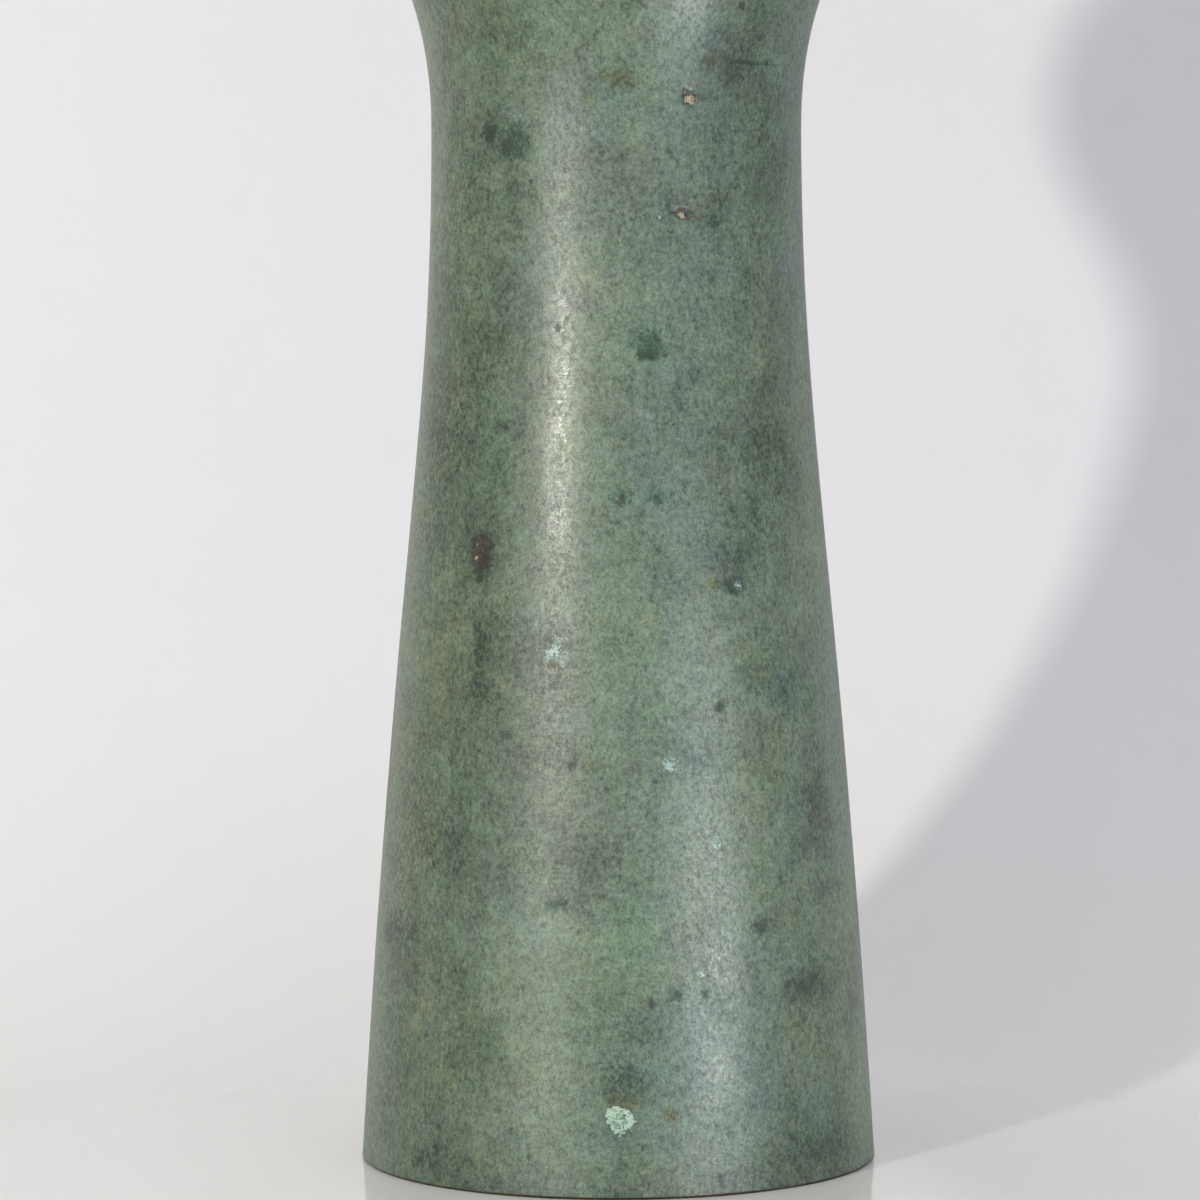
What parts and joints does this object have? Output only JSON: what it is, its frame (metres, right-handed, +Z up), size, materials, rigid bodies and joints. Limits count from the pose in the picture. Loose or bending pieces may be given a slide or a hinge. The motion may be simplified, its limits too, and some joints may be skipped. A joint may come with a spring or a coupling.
{
  "type": "vase",
  "caption": "Tall cast bronze vase with a green patina: tapering stem, narrow neck and a rounded head that closes in to an open mouth, on a plain foot.",
  "frame": {"origin": "centre of the flat ring that the foot stands on", "axes": "+Z up along the turning axis; the side with the pale verdigris spot near the foot faces -Y"},
  "size_m": [0.1092, 0.1092, 0.2802],
  "materials": {
    "patinated_bronze": "cast and turned bronze, semi-gloss mottled green patina, waxed",
    "darkened_bronze": "turned bronze disc, darkened brown, matt",
    "soft_solder": "dull grey soft solder"
  },
  "bodies": {
    "root": {"vase_body": "patinated_bronze", "base_plate": "darkened_bronze", "solder_fillet": "soft_solder"}
  },
  "joints": []
}
